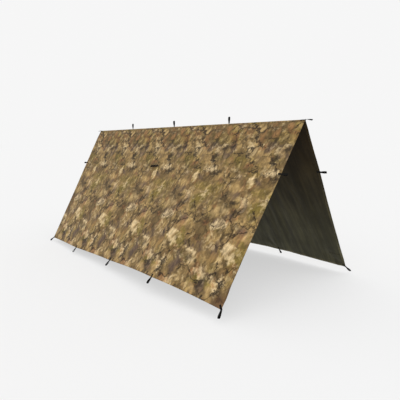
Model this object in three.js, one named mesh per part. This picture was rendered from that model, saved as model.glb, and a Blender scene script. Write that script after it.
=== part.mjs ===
// Camouflage shelter tarp pitched as an A-frame (ridge tent without ends).
// Millimetres, +Z up, X along the ridge from the back end to the open front
// end, -Y is the near slope, +Y is the far slope. The frame's origin is the
// middle of the bounding box at the height of the lowest loop tip.
import * as THREE from 'three';

// ---------------------------------------------------------------- dimensions
const SHIFT = new THREE.Vector3(-1503, 28.993, 78.845); // stitched frame -> part frame
const RIDGE_Z = 1235;           // ridge line above the far eave
const RIDGE_X0 = 2;             // back end of the ridge
const RIDGE_X1 = 3004;          // front end of the ridge
// stitched eave points, one every 750 mm of cloth, back corner first
const NEAR_EAVE = [[46, -692, -34], [758, -742, -11], [1490, -760, 15], [2214, -808, 51], [2939, -775, 7]];
const FAR_EAVE = [[8, 753, -1], [758, 752, 1], [1508, 745, -4], [2258, 753, -1], [2986, 745, -16]];
const SLOPE = 1450;             // cut length of one slope, ridge to eave
const CLOTH_T = 1.2;            // panel solid thickness
const FOLD_GAP = 2;             // each panel starts this far from the fold axis
const HEM_W = 22;               // turned hem width
const HEM_SETBACK = 1.5;        // the hem's fold sits this far inside the cut edge
const HEM_T = 1.0;              // hem and patch solid thickness
const LAYER_GAP = 0.4;          // air between sewn layers
const PATCH = 115;              // corner reinforcement side
const CENTRE_PATCH = 100;       // slope-centre reinforcement side
const ROW = 0.31;               // side and centre loops sit this share of the slope below the ridge
const WEB_W = 15;               // webbing width
const WEB_T = 1.5;              // webbing thickness
const TAIL = 26;                // sewn webbing end on the cloth
const RIDGE_TAIL = 40;          // sewn webbing end on top of the ridge
const CAP_W = 22;               // ridge seam cap width
const CAP_END = 46;             // cap stops this far from each ridge end
const EDGE_GAP = 0.7;           // stitch line of a loop off the cloth's edge

// ------------------------------------------------------------------ materials
const mat = (hex, rough) => new THREE.MeshStandardMaterial({ color: hex, roughness: rough, metalness: 0 });
const CAMO = mat(0x8f7b58, 0.85);
const LINING = mat(0x28231a, 0.6);
const HEM = mat(0x7d6d4e, 0.85);
const WEB = mat(0x15140f, 0.8);

const group = new THREE.Group();
group.name = 'tarp';

// ------------------------------------------------------------ slope surfaces
// Catmull-Rom through the five stitched points of an eave
function spline(pts, u) {
  const n = pts.length - 1;
  const ext = (i) => {
    if (i < 0) return pts[0].map((c, k) => 2 * c - pts[1][k]);
    if (i > n) return pts[n].map((c, k) => 2 * c - pts[n - 1][k]);
    return pts[i];
  };
  const s = Math.min(Math.max(u, 0), 1) * n;
  const i = Math.min(Math.floor(s), n - 1);
  const t = s - i;
  const [a, b, c, d] = [ext(i - 1), ext(i), ext(i + 1), ext(i + 2)];
  return b.map((_, k) => 0.5 * (2 * b[k] + (c[k] - a[k]) * t + (2 * a[k] - 5 * b[k] + 4 * c[k] - d[k]) * t * t
    + (3 * b[k] - a[k] - 3 * c[k] + d[k]) * t * t * t));
}
// inner face of a slope: straight lines from the ridge to the eave
function inner(side, u, v) {
  const e = spline(side === 'near' ? NEAR_EAVE : FAR_EAVE, u);
  const x = RIDGE_X0 + (RIDGE_X1 - RIDGE_X0) * u;
  return new THREE.Vector3(x + v * (e[0] - x), v * e[1], RIDGE_Z + v * (e[2] - RIDGE_Z));
}
// unit vectors of the slope: along the ridge, down the slope, outward
function frame(side, u, v) {
  const d = 1e-3;
  const a = inner(side, Math.min(u + d, 1), v).sub(inner(side, Math.max(u - d, 0), v)).normalize();
  const s = inner(side, u, 1).sub(inner(side, u, 0)).normalize();
  const n = new THREE.Vector3().crossVectors(a, s).normalize();
  if (n.z < 0) n.negate();
  return { a, s, n };
}
function at(side, u, v, off) {
  return inner(side, u, v).addScaledVector(frame(side, u, v).n, off);
}
const U = (mm) => mm / (RIDGE_X1 - RIDGE_X0);
const V = (mm) => mm / SLOPE;

// break lines shared by a panel and everything sewn flat on it
const US = [...new Set([0, U(HEM_W), U(HEM_W + PATCH), 0.125, 0.1875, 0.25, 0.3125, 0.375, 0.4375,
  0.5 - U(CENTRE_PATCH / 2), 0.5, 0.5 + U(CENTRE_PATCH / 2), 0.5625, 0.625, 0.6875, 0.75, 0.8125, 0.875,
  1 - U(HEM_W + PATCH), 1 - U(HEM_W), 1])];
const VS = [V(FOLD_GAP), V(26), ROW - V(CENTRE_PATCH / 2), ROW + V(CENTRE_PATCH / 2), 0.5, 0.66, 0.8,
  1 - V(HEM_W + PATCH), 1 - V(HEM_W), 1];

// closed shell over part of a slope between two offsets from the inner face
function shell(side, us, vs, n0, n1, insetU = 0, insetV = 0) {
  const uu = us.slice(), vv = vs.slice();
  uu[0] += U(insetU); uu[uu.length - 1] -= U(insetU);
  vv[0] += V(insetV); vv[vv.length - 1] -= V(insetV);
  const nu = uu.length, nv = vv.length;
  const pos = [], idx = [];
  for (const off of [n0, n1]) for (const u of uu) for (const v of vv) pos.push(...at(side, u, v, off).toArray());
  const id = (k, i, j) => k * nu * nv + i * nv + j;
  const flip = side === 'near';
  const tri = (a, b, c) => (flip ? idx.push(a, c, b) : idx.push(a, b, c));
  for (let i = 0; i < nu - 1; i++) for (let j = 0; j < nv - 1; j++) {
    tri(id(1, i, j), id(1, i + 1, j), id(1, i + 1, j + 1));
    tri(id(1, i, j), id(1, i + 1, j + 1), id(1, i, j + 1));
    tri(id(0, i, j), id(0, i + 1, j + 1), id(0, i + 1, j));
    tri(id(0, i, j), id(0, i, j + 1), id(0, i + 1, j + 1));
  }
  for (let i = 0; i < nu - 1; i++) {
    tri(id(0, i, 0), id(0, i + 1, 0), id(1, i + 1, 0)); tri(id(0, i, 0), id(1, i + 1, 0), id(1, i, 0));
    const j = nv - 1;
    tri(id(0, i, j), id(1, i + 1, j), id(0, i + 1, j)); tri(id(0, i, j), id(1, i, j), id(1, i + 1, j));
  }
  for (let j = 0; j < nv - 1; j++) {
    tri(id(0, 0, j), id(1, 0, j + 1), id(0, 0, j + 1)); tri(id(0, 0, j), id(1, 0, j), id(1, 0, j + 1));
    const i = nu - 1;
    tri(id(0, i, j), id(0, i, j + 1), id(1, i, j + 1)); tri(id(0, i, j), id(1, i, j + 1), id(1, i, j));
  }
  const g = new THREE.BufferGeometry();
  g.setAttribute('position', new THREE.Float32BufferAttribute(pos, 3));
  g.setIndex(idx);
  g.computeVertexNormals();
  return g;
}
function add(name, geometry, material, matrix) {
  const m = new THREE.Mesh(geometry, material);
  m.name = name;
  if (matrix) m.applyMatrix4(matrix);
  m.position.add(SHIFT);
  group.add(m);
  return m;
}
const between = (list, lo, hi) => list.filter((x) => x > lo - 1e-9 && x < hi + 1e-9);

// ------------------------------------------------ panels, hems and patches
for (const side of ['near', 'far']) {
  add(`${side}_slope_panel`, shell(side, US, VS, 0, CLOTH_T), CAMO);
  const lo = -LAYER_GAP - HEM_T, hi = -LAYER_GAP;
  add(`${side}_eave_hem`, shell(side, US, [1 - V(HEM_W), 1], lo, hi, 0, HEM_SETBACK), HEM);
  const vs = between(VS, V(26), 1 - V(HEM_W));
  add(`${side}_back_hem`, shell(side, [0, U(HEM_W)], vs, lo, hi, 0, 0.6), HEM);
  add(`${side}_front_hem`, shell(side, [1 - U(HEM_W), 1], vs, lo, hi, 0, 0.6), HEM);
  const pv = [1 - V(HEM_W + PATCH), 1 - V(HEM_W)];
  add(`${side}_back_corner_patch`, shell(side, [U(HEM_W), U(HEM_W + PATCH)], pv, lo, hi, 0.8, 0.8), LINING);
  add(`${side}_front_corner_patch`, shell(side, [1 - U(HEM_W + PATCH), 1 - U(HEM_W)], pv, lo, hi, 0.8, 0.8), LINING);
  add(`${side}_centre_patch`, shell(side, [0.5 - U(CENTRE_PATCH / 2), 0.5, 0.5 + U(CENTRE_PATCH / 2)],
    [ROW - V(CENTRE_PATCH / 2), ROW + V(CENTRE_PATCH / 2)], lo, hi), LINING);
}
// cap sewn over the ridge seam, on the near slope's outer face
add('ridge_seam_cap', shell('near', [U(CAP_END), ...between(US, 0.05, 0.95), 1 - U(CAP_END)],
  [V(1.2), V(1.2 + CAP_W)], CLOTH_T + LAYER_GAP, CLOTH_T + LAYER_GAP + HEM_T), HEM);

// ------------------------------------------------------------ webbing loops
// side profile of a loop, x = distance from its stitch line, y = thickness
const LOOP_OUT = [[0.9, 0.35], [4, 1.7], [13, 2.0], [25, 5.1], [36, 6.4], [46, 6.4], [53.5, 4.7], [58, 2.2]];
const LOOP_IN = [[25, 3.55], [36, 4.9], [46, 4.9], [52.6, 3.4], [56.4, 1.4]];
function loopGeometry() {
  const out = [...LOOP_OUT, ...LOOP_OUT.map(([x, y]) => [x, -y]).reverse()].map((p) => new THREE.Vector2(...p));
  const eye = [[14, 0], ...LOOP_IN.map(([x, y]) => [x, -y]), ...LOOP_IN.slice().reverse()].map((p) => new THREE.Vector2(...p));
  const shape = new THREE.Shape(out.reverse());
  shape.holes.push(new THREE.Path(eye));
  const g = new THREE.ExtrudeGeometry(shape, { depth: WEB_W, bevelEnabled: false, curveSegments: 1 });
  g.translate(0, 0, -WEB_W / 2);
  return g;
}
// origin at the stitch line, local x along the loop, local y its thickness,
// local z along the webbing's width
function loop(name, p, l, n) {
  const x = l.clone().normalize();
  const z = new THREE.Vector3().crossVectors(x, n).normalize();
  const y = new THREE.Vector3().crossVectors(z, x).normalize();
  const m = new THREE.Matrix4().makeBasis(x, y, z).setPosition(p);
  add(name, loopGeometry(), WEB, m);
}
// sewn end: a flat strip from point p, running along d, lying on face normal n
function tail(name, p, d, n, length, base) {
  const x = d.clone().normalize();
  const z = new THREE.Vector3().crossVectors(x, n).normalize();
  const y = new THREE.Vector3().crossVectors(z, x).normalize();
  const g = new THREE.BoxGeometry(length, WEB_T, WEB_W);
  g.translate(length / 2, base + WEB_T / 2, 0);
  add(name, g, WEB, new THREE.Matrix4().makeBasis(x, y, z).setPosition(p));
}
const deg = (a) => (a * Math.PI) / 180;
// direction in the slope's plane, `lean` degrees from straight down towards +X,
// then lifted `out` degrees off the plane
function direction(f, lean, out) {
  const flat = f.s.clone().multiplyScalar(Math.cos(deg(lean)));
  const across = new THREE.Vector3().crossVectors(f.n, f.s);
  if (across.x < 0) across.negate();
  flat.addScaledVector(across, Math.sin(deg(lean)));
  const l = flat.clone().multiplyScalar(Math.cos(deg(out))).addScaledVector(f.n, Math.sin(deg(out)));
  const n = f.n.clone().multiplyScalar(Math.cos(deg(out))).addScaledVector(flat, -Math.sin(deg(out)));
  return { l, n, flat };
}
const TAIL_BASE = CLOTH_T + LAYER_GAP;
const NAMES = ['back_corner', 'back', 'middle', 'front', 'front_corner'];
const LEAN = { near: [-40, 0, 0, 0, 12], far: [-40, 0, 0, 0, 30] };
const LIFT = { near: [8, 12, 12, 12, 6], far: [8, 12, 12, 6, 8] };
for (const side of ['near', 'far']) {
  // eave and corner loops
  NAMES.forEach((name, i) => {
    const u = i / 4;
    const f = frame(side, u, 1);
    const d = direction(f, LEAN[side][i], LIFT[side][i]);
    const corner = i === 0 || i === 4;
    const edge = at(side, u, 1, CLOTH_T / 2);
    const p = edge.clone().addScaledVector(d.flat, EDGE_GAP);
    loop(`${side}_${name}_loop`, p, d.l, d.n);
    // corner ends run along the corner's bisector
    const t = corner ? direction(f, i === 0 ? -45 : 45, 0).flat : f.s;
    const q = at(side, u, 1, 0).addScaledVector(t, corner ? -9.5 : -2);
    tail(`${side}_${name}_tail`, q, t.clone().negate(), f.n, TAIL, TAIL_BASE);
  });
  // side loops, one on each end of the slope
  for (const [name, u, sx] of [['back_side', 0, -1], ['front_side', 1, 1]]) {
    const f = frame(side, u, ROW);
    const out = f.a.clone().multiplyScalar(sx);
    out.addScaledVector(f.s, -out.dot(f.s)).normalize(); // square to the loop's stitch line
    const p = at(side, u, ROW, CLOTH_T / 2).addScaledVector(out, EDGE_GAP);
    const l = out.clone().multiplyScalar(Math.cos(deg(4))).addScaledVector(f.n, Math.sin(deg(4)));
    const n = f.n.clone().multiplyScalar(Math.cos(deg(4))).addScaledVector(out, -Math.sin(deg(4)));
    loop(`${side}_${name}_loop`, p, l, n);
    tail(`${side}_${name}_tail`, at(side, u, ROW, 0).addScaledVector(out, -2), out.clone().negate(), f.n, TAIL, TAIL_BASE);
  }
  // centre loop: sewn flat on the slope, lying along it and standing a little off it
  const f = frame(side, 0.5, ROW);
  const d = direction(f, -70, 14);
  const p = at(side, 0.5, ROW, TAIL_BASE + WEB_T + 0.9);
  loop(`${side}_centre_loop`, p, d.l, d.n);
  tail(`${side}_centre_tail`, at(side, 0.5, ROW, 0).addScaledVector(d.flat, -3), d.flat.clone().negate(), f.n, TAIL, TAIL_BASE);
}
// loops standing on the ridge
{
  const f = frame('near', 0.5, 0);
  ['back', 'middle', 'front'].forEach((name, i) => {
    const u = (i + 1) / 4;
    const p = inner('near', u, 0).addScaledVector(f.n, 4.6).addScaledVector(f.s, -0.4);
    const lean = new THREE.Vector3([0, -0.12, 0][i], 0, 1).normalize();
    loop(`ridge_${name}_loop`, p, lean, new THREE.Vector3(0, -1, 0));
  });
  for (const [name, u, sx] of [['back_end', 0, -1], ['front_end', 1, 1]]) {
    const p = inner('near', u, 0).add(new THREE.Vector3(sx * 1.6, 0, 2.4));
    loop(`ridge_${name}_loop`, p, new THREE.Vector3(sx, 0, 0), new THREE.Vector3(0, 0, 1));
    const fe = frame('near', u, 0);
    const q = inner('near', u, 0).addScaledVector(fe.s, 1.6 + WEB_W / 2).add(new THREE.Vector3(-sx * 2, 0, 0));
    tail(`ridge_${name}_tail`, q, new THREE.Vector3(-sx, 0, 0), fe.n, RIDGE_TAIL, TAIL_BASE);
  }
}

export default group;
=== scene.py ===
# Camouflage shelter tarp pitched as an A-frame: cloth, hems, patches, seams and webbing loops
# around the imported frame. Metres, +Z up, X along the ridge, -Y is the near slope.
import math

import bpy
import numpy as np
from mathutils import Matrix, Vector


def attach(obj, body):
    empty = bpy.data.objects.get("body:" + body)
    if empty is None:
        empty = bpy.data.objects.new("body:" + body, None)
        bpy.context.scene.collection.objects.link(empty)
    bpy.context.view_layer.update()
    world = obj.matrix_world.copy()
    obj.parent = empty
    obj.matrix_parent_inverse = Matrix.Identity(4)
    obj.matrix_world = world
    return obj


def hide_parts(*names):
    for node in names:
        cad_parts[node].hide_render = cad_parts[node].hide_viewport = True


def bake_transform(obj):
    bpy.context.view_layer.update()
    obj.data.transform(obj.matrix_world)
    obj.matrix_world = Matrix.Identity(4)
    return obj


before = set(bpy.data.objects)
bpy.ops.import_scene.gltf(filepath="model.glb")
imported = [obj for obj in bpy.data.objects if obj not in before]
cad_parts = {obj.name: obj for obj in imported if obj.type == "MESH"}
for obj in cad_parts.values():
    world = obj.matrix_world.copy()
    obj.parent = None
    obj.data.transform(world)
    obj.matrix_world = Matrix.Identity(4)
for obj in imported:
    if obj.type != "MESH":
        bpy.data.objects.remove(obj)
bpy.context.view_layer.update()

# ------------------------------------------------------------------ camera
CAM_POS = Vector((3.134, -2.470, 1.1298))
CAM_YAW, CAM_PITCH = math.radians(137.82), math.radians(-7.83)
cam_data = bpy.data.cameras.new("camera")
cam_data.lens, cam_data.sensor_width = 35.61, 36.0
cam_data.clip_end = 400
cam = bpy.data.objects.new("camera", cam_data)
bpy.context.scene.collection.objects.link(cam)
cam.location = CAM_POS
look = Vector((math.cos(CAM_PITCH) * math.cos(CAM_YAW), math.cos(CAM_PITCH) * math.sin(CAM_YAW), math.sin(CAM_PITCH)))
cam.rotation_euler = look.to_track_quat("-Z", "Y").to_euler()
bpy.context.scene.camera = cam

# --------------------------------------------------------------- the slopes
SHIFT = np.array([-1.503, 0.028993, 0.078845])
RIDGE_Z, RIDGE_X0, RIDGE_X1 = 1.235, 0.002, 3.004
EAVE = {
    "near": np.array([[0.046, -0.692, -0.034], [0.758, -0.742, -0.011], [1.490, -0.760, 0.015], [2.214, -0.808, 0.051], [2.939, -0.775, 0.007]]),
    "far": np.array([[0.008, 0.753, -0.001], [0.758, 0.752, 0.001], [1.508, 0.745, -0.004], [2.258, 0.753, -0.001], [2.986, 0.745, -0.016]]),
}
LENGTH, SLOPE = 3.0, 1.45
ROW = 0.31
CLOTH_T = 0.0009
MID = 0.0006  # middle of the cloth above the inner face of the CAD panel
SIDES = ("near", "far")
SIGN = {"near": -1.0, "far": 1.0}


def smooth(e0, e1, x):
    t = np.clip((np.asarray(x, float) - e0) / (e1 - e0), 0, 1)
    return t * t * (3 - 2 * t)


def spline(pts, u):
    n = len(pts) - 1
    ext = np.vstack([2 * pts[0] - pts[1], pts, 2 * pts[-1] - pts[-2]])
    s = np.clip(u, 0, 1) * n
    i = np.minimum(np.floor(s).astype(int), n - 1)
    t = (s - i)[..., None]
    a, b, c, d = ext[i], ext[i + 1], ext[i + 2], ext[i + 3]
    return 0.5 * (2 * b + (c - a) * t + (2 * a - 5 * b + 4 * c - d) * t**2 + (3 * b - a - 3 * c + d) * t**3)


def plane(side, u, v):
    """The panel's inner face: straight lines from the ridge to the eave."""
    e = spline(EAVE[side], u)
    r = np.stack([RIDGE_X0 + (RIDGE_X1 - RIDGE_X0) * u, 0 * u, 0 * u + RIDGE_Z], -1)
    return r + np.asarray(v)[..., None] * (e - r)


def axes(side, u, v):
    d = 1e-3
    a = plane(side, np.clip(u + d, 0, 1), v) - plane(side, np.clip(u - d, 0, 1), v)
    s = plane(side, u, np.ones_like(u)) - plane(side, u, np.zeros_like(u))
    a /= np.linalg.norm(a, axis=-1, keepdims=True)
    s /= np.linalg.norm(s, axis=-1, keepdims=True)
    n = np.cross(a, s)
    n /= np.linalg.norm(n, axis=-1, keepdims=True)
    n *= np.sign(n[..., 2:3])
    return a, s, n


# smooth seeded noise on the cloth's flat coordinates
def lattice(seed, n=64):
    return np.random.default_rng(seed).uniform(-1, 1, (n, n))


def noise(x, y, seed):
    g = lattice(seed)
    n = g.shape[0]
    xi, yi = np.floor(x).astype(int), np.floor(y).astype(int)
    fx, fy = x - xi, y - yi
    fx, fy = fx**3 * (fx * (6 * fx - 15) + 10), fy**3 * (fy * (6 * fy - 15) + 10)
    p = lambda i, j: g[(xi + i) % n, (yi + j) % n]
    return (p(0, 0) * (1 - fx) + p(1, 0) * fx) * (1 - fy) + (p(0, 1) * (1 - fx) + p(1, 1) * fx) * fy


# stitched points that pull on the cloth: u, v, fold height, reach, folds round the point
TIES = {
    "near": [(0, 1, 0.0045, 0.16, 6, 0.4), (1, 1, 0.0090, 0.15, 7, 1.1), (0.25, 1, 0.0016, 0.12, 7, 0.3), (0.5, 1, 0.0018, 0.13, 7, 1.9),
             (0.75, 1, 0.0020, 0.14, 7, 0.9), (0, ROW, 0.0012, 0.10, 7, 0.2), (1, ROW, 0.0012, 0.10, 7, 2.2),
             (0.25, 0, 0.0012, 0.14, 7, 0.8), (0.5, 0, 0.0012, 0.14, 7, 0.1), (0.75, 0, 0.0012, 0.14, 7, 1.4), (0, 0, 0.0025, 0.2, 8, 0.5), (1, 0, 0.0025, 0.2, 8, 1.2)],
    "far": [(0, 1, 0.0050, 0.20, 6, 1.4), (1, 1, 0.0055, 0.24, 6, 0.2), (0.25, 1, 0.0022, 0.14, 7, 1.3), (0.5, 1, 0.0022, 0.14, 7, 0.9),
            (0.75, 1, 0.0034, 0.20, 8, 0.2), (0, ROW, 0.0014, 0.10, 7, 0.7), (1, ROW, 0.0014, 0.10, 7, 1.2),
            (0.25, 0, 0.0014, 0.14, 7, 1.8), (0.5, 0, 0.0014, 0.14, 7, 1.1), (0.75, 0, 0.0014, 0.14, 7, 0.4), (0, 0, 0.0028, 0.22, 8, 1.5), (1, 0, 0.0028, 0.22, 8, 0.2)],
}


def relief(side, u, v):
    """How far the cloth stands off the flat panel, outward, in metres."""
    a, b = u * LENGTH, v * SLOPE
    seed = 11 if side == "near" else 57
    w = np.zeros(np.broadcast(a, b).shape)
    inner = np.minimum(smooth(0, 0.10, b), 1) * (0.25 + 0.75 * smooth(0, 0.12, SLOPE - b))
    # slack: the middle of each bay hangs in a little, the eave bows between its loops
    w += -0.010 * np.sin(math.pi * u) ** 0.8 * np.sin(math.pi * v) if side == "near" else -0.009 * np.sin(math.pi * v) * np.sin(math.pi * u) ** 0.8
    w += -0.0055 * np.sin(math.pi * 4 * u) ** 2 * smooth(0.72, 1.0, v)
    # folds that radiate from the stitched points
    for tu, tv, h, reach, k, ph in TIES[side]:
        da, db = a - tu * LENGTH, b - tv * SLOPE
        r = np.hypot(da, db) + 1e-6
        th = np.arctan2(da, db if tv < 0.5 else -db)
        bend = th + 0.35 * noise(a * 5 + 3, b * 5 + 7, seed + 3)
        w += h * np.exp(-r / reach) * smooth(0.026, 0.085, r) * np.cos(k * bend + ph)
    # long wrinkles that run from the ridge towards the eave
    gain = 0.55 if side == "near" else 1.55
    x = a + 0.10 * noise(a * 1.3, b * 1.1, seed) + 0.05 * noise(a * 3, b * 2.2, seed + 1)
    long_ = noise(x * 13, b * 1.3 + 4, seed + 5)
    fine = noise(x * 27 + 9, b * 2.4, seed + 6)
    env = 0.45 + 0.55 * smooth(-0.35, 0.5, noise(a * 2.1 + 5, b * 1.7, seed + 7))
    w += gain * inner * env * (0.0030 * long_ + 0.0013 * fine)
    # sharp little crests on some of the wrinkles
    crest = 1 - np.abs(noise(x * 9 + 21, b * 1.1 + 2, seed + 8)) * 3.2
    w += gain * inner * 0.0022 * smooth(0, 1, crest) * env
    # broad undulation
    w += 0.0035 * inner * noise(a * 1.6 + 2, b * 1.9 + 6, seed + 9)
    # the relief is held lower within the last 2 cm at the ridge
    return w * (0.35 + 0.65 * smooth(0.0, 0.02, b))


def dense(n, ends=0.05, lo=0.0, hi=1.0):
    """Steps from lo to hi, closer together near both ends."""
    t = np.linspace(0, 1, n)
    t = t - ends * np.sin(2 * math.pi * t) / (2 * math.pi) * 10
    return lo + (hi - lo) * (t - t[0]) / (t[-1] - t[0])


# the cloth's own grid; everything sewn on it follows the same faces
GRID_U, GRID_V = dense(293, 0.04), dense(151, 0.04, 0.0010, 1.0)
GRID = {side: relief(side, *np.meshgrid(GRID_U, GRID_V, indexing="ij")) for side in SIDES}


def relief_at(side, u, v):
    g = GRID[side]
    iu, iv = np.interp(u, GRID_U, np.arange(len(GRID_U))), np.interp(v, GRID_V, np.arange(len(GRID_V)))
    i, j = np.minimum(iu.astype(int), len(GRID_U) - 2), np.minimum(iv.astype(int), len(GRID_V) - 2)
    a, b = iu - i, iv - j
    return (g[i, j] * (1 - a) + g[i + 1, j] * a) * (1 - b) + (g[i, j + 1] * (1 - a) + g[i + 1, j + 1] * a) * b


def cloth(side, u, v, off=0.0, extra=0.0):
    """Points on the hung cloth, `off` metres outward of its middle, in the part's frame."""
    u, v = np.broadcast_arrays(np.asarray(u, float), np.asarray(v, float))
    t = (4 * u) % 1.0
    bay = 4 * t * (1 - t)
    vv = v * (1 - (0.0045 / SLOPE) * bay * smooth(0.6, 1.0, v))
    # the end edges draw in a little between the ridge, the side loop and the corner
    span = np.where(v < ROW, 4 * (v / ROW) * (1 - v / ROW) * 0.25, 4 * ((v - ROW) / (1 - ROW)) * (1 - (v - ROW) / (1 - ROW)))
    pull = 0.0060 * span / LENGTH
    uu = u + pull * (1 - smooth(0, 0.08, u)) - pull * (1 - smooth(0, 0.08, 1 - u))
    p = plane(side, uu, vv)
    n = axes(side, uu, vv)[2]
    return p + n * (MID + relief_at(side, u, v) + off + extra)[..., None] + SHIFT


def normal(side, u, v):
    return axes(side, np.asarray(u, float), np.asarray(v, float))[2]


# -------------------------------------------------------------- mesh helpers
def mesh_object(name, verts, faces, mats, face_mat=None, uv=None, shade=True):
    me = bpy.data.meshes.new(name)
    me.from_pydata([tuple(map(float, p)) for p in np.asarray(verts)], [], [tuple(map(int, f)) for f in faces])
    for m in mats:
        me.materials.append(m)
    if face_mat is not None:
        me.polygons.foreach_set("material_index", np.asarray(face_mat, np.int32))
    if uv is not None:
        layer = me.uv_layers.new(name="cloth")
        idx = np.empty(len(me.loops), np.int32)
        me.loops.foreach_get("vertex_index", idx)
        layer.data.foreach_set("uv", np.asarray(uv, np.float32)[idx].ravel())
    if shade:
        me.polygons.foreach_set("use_smooth", np.ones(len(me.polygons), bool))
    me.validate()
    me.update()
    o = bpy.data.objects.new(name, me)
    bpy.context.scene.collection.objects.link(o)
    return o


def slab(name, top, bottom, uv_top, uv_bottom, mats, outward):
    """A closed thin sheet from two grids of points: material 0 outside, 1 inside, 2 on the rim."""
    nu, nv = top.shape[:2]
    n = nu * nv
    verts = np.vstack([top.reshape(-1, 3), bottom.reshape(-1, 3)])
    uv = np.vstack([uv_top.reshape(-1, 2), uv_bottom.reshape(-1, 2)])
    i, j = np.meshgrid(np.arange(nu - 1), np.arange(nv - 1), indexing="ij")
    a = (i * nv + j).ravel()
    q = np.stack([a, a + nv, a + nv + 1, a + 1], 1)
    if outward < 0:
        q = q[:, ::-1]
    outer, inner = q, q[:, ::-1] + n
    ring = np.concatenate([np.arange(nu) * nv, (nu - 1) * nv + np.arange(1, nv), (np.arange(nu - 1) * nv + nv - 1)[::-1], np.arange(1, nv - 1)[::-1]])
    nxt = np.roll(ring, -1)
    rim = np.stack([nxt, ring, ring + n, nxt + n], 1)
    if outward < 0:
        rim = rim[:, ::-1]
    faces = np.vstack([outer, inner, rim])
    fm = np.concatenate([np.zeros(len(outer)), np.ones(len(inner)), np.full(len(rim), 2)]).astype(int)
    return mesh_object(name, verts, faces, mats, fm, uv)


# ---------------------------------------------------------------- materials
class Nodes:
    """A little help for building a node tree."""

    def __init__(self, name):
        self.mat = bpy.data.materials.new(name)
        self.mat.use_nodes = True
        self.t = self.mat.node_tree
        self.bsdf = self.t.nodes["Principled BSDF"]

    def new(self, kind, **props):
        n = self.t.nodes.new(kind)
        for k, v in props.items():
            setattr(n, k, v)
        return n

    def put(self, socket, value):
        if isinstance(value, bpy.types.NodeSocket):
            self.t.links.new(value, socket)
        elif value is not None:
            socket.default_value = value

    def math(self, op, a, b=None, c=None, clamp=False):
        n = self.new("ShaderNodeMath", operation=op, use_clamp=clamp)
        for s, v in zip(n.inputs, (a, b, c)):
            self.put(s, v)
        return n.outputs[0]

    def vmath(self, op, a, b=None, scale=None):
        n = self.new("ShaderNodeVectorMath", operation=op)
        self.put(n.inputs[0], a)
        if b is not None:
            self.put(n.inputs[1], b)
        if scale is not None:
            self.put(n.inputs["Scale"], scale)
        return n.outputs[0]

    def vmath_len(self, a):
        n = self.new("ShaderNodeVectorMath", operation="LENGTH")
        self.put(n.inputs[0], a)
        return n.outputs["Value"]

    def noise(self, vec, scale, detail=3.0, rough=0.55, distort=0.0, out="Fac"):
        n = self.new("ShaderNodeTexNoise", noise_dimensions="3D")
        self.put(n.inputs["Vector"], vec)
        n.inputs["Scale"].default_value = scale
        n.inputs["Detail"].default_value = detail
        n.inputs["Roughness"].default_value = rough
        n.inputs["Distortion"].default_value = distort
        return n.outputs[out]

    def voronoi(self, vec, scale, feature="F1", rnd=1.0, out="Distance"):
        n = self.new("ShaderNodeTexVoronoi", voronoi_dimensions="3D", feature=feature)
        self.put(n.inputs["Vector"], vec)
        n.inputs["Scale"].default_value = scale
        n.inputs["Randomness"].default_value = rnd
        return n.outputs[out]

    def step(self, value, lo, hi, a=0.0, b=1.0):
        n = self.new("ShaderNodeMapRange", interpolation_type="SMOOTHSTEP")
        self.put(n.inputs[0], value)
        for i, v in zip((1, 2, 3, 4), (lo, hi, a, b)):
            n.inputs[i].default_value = v
        return n.outputs[0]

    def ramp(self, value, stops):
        n = self.new("ShaderNodeValToRGB")
        self.put(n.inputs[0], value)
        e = n.color_ramp.elements
        while len(e) < len(stops):
            e.new(0.5)
        for el, (p, c) in zip(e, stops):
            el.position, el.color = p, (*c, 1)
        return n.outputs[0]

    def mix(self, fac, a, b, blend="MIX"):
        n = self.new("ShaderNodeMix", data_type="RGBA", blend_type=blend)
        self.put(n.inputs[0], fac)
        for s, v in ((n.inputs[6], a), (n.inputs[7], b)):
            self.put(s, (*v, 1) if isinstance(v, tuple) and len(v) == 3 else v)
        return n.outputs[2]

    def xyz(self, x, y, z):
        n = self.new("ShaderNodeCombineXYZ")
        for s, v in zip(n.inputs, (x, y, z)):
            self.put(s, v)
        return n.outputs[0]

    def split(self, vec):
        n = self.new("ShaderNodeSeparateXYZ")
        self.put(n.inputs[0], vec)
        return n.outputs

    def uv(self):
        return self.new("ShaderNodeUVMap", uv_map="cloth").outputs[0]

    def bump(self, height, strength, distance, normal=None):
        n = self.new("ShaderNodeBump")
        n.inputs["Strength"].default_value = strength
        n.inputs["Distance"].default_value = distance
        self.put(n.inputs["Height"], height)
        if normal is not None:
            self.put(n.inputs["Normal"], normal)
        return n.outputs[0]


def srgb(r, g, b):
    f = lambda c: (c / 255 / 12.92) if c <= 10.3 else (((c / 255) + 0.055) / 1.055) ** 2.4
    return (f(r), f(g), f(b))


def lift(c, k):
    return tuple(min(x * k, 1.0) for x in c)


REPEAT = 0.62  # the print's repeat along the cloth


def print_space(m, shift=(0.0, 0.0)):
    """The cloth's flat coordinates rolled on a drum, so the print repeats along the ridge without a join."""
    x, y, _ = m.split(m.uv())
    if shift != (0.0, 0.0):
        x, y = m.math("ADD", x, shift[0]), m.math("ADD", y, shift[1])
    a = m.math("MULTIPLY", x, 2 * math.pi / REPEAT)
    r = REPEAT / (2 * math.pi)
    return m.xyz(m.math("MULTIPLY", m.math("COSINE", a), r), m.math("MULTIPLY", m.math("SINE", a), r), y), x, y


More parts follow.
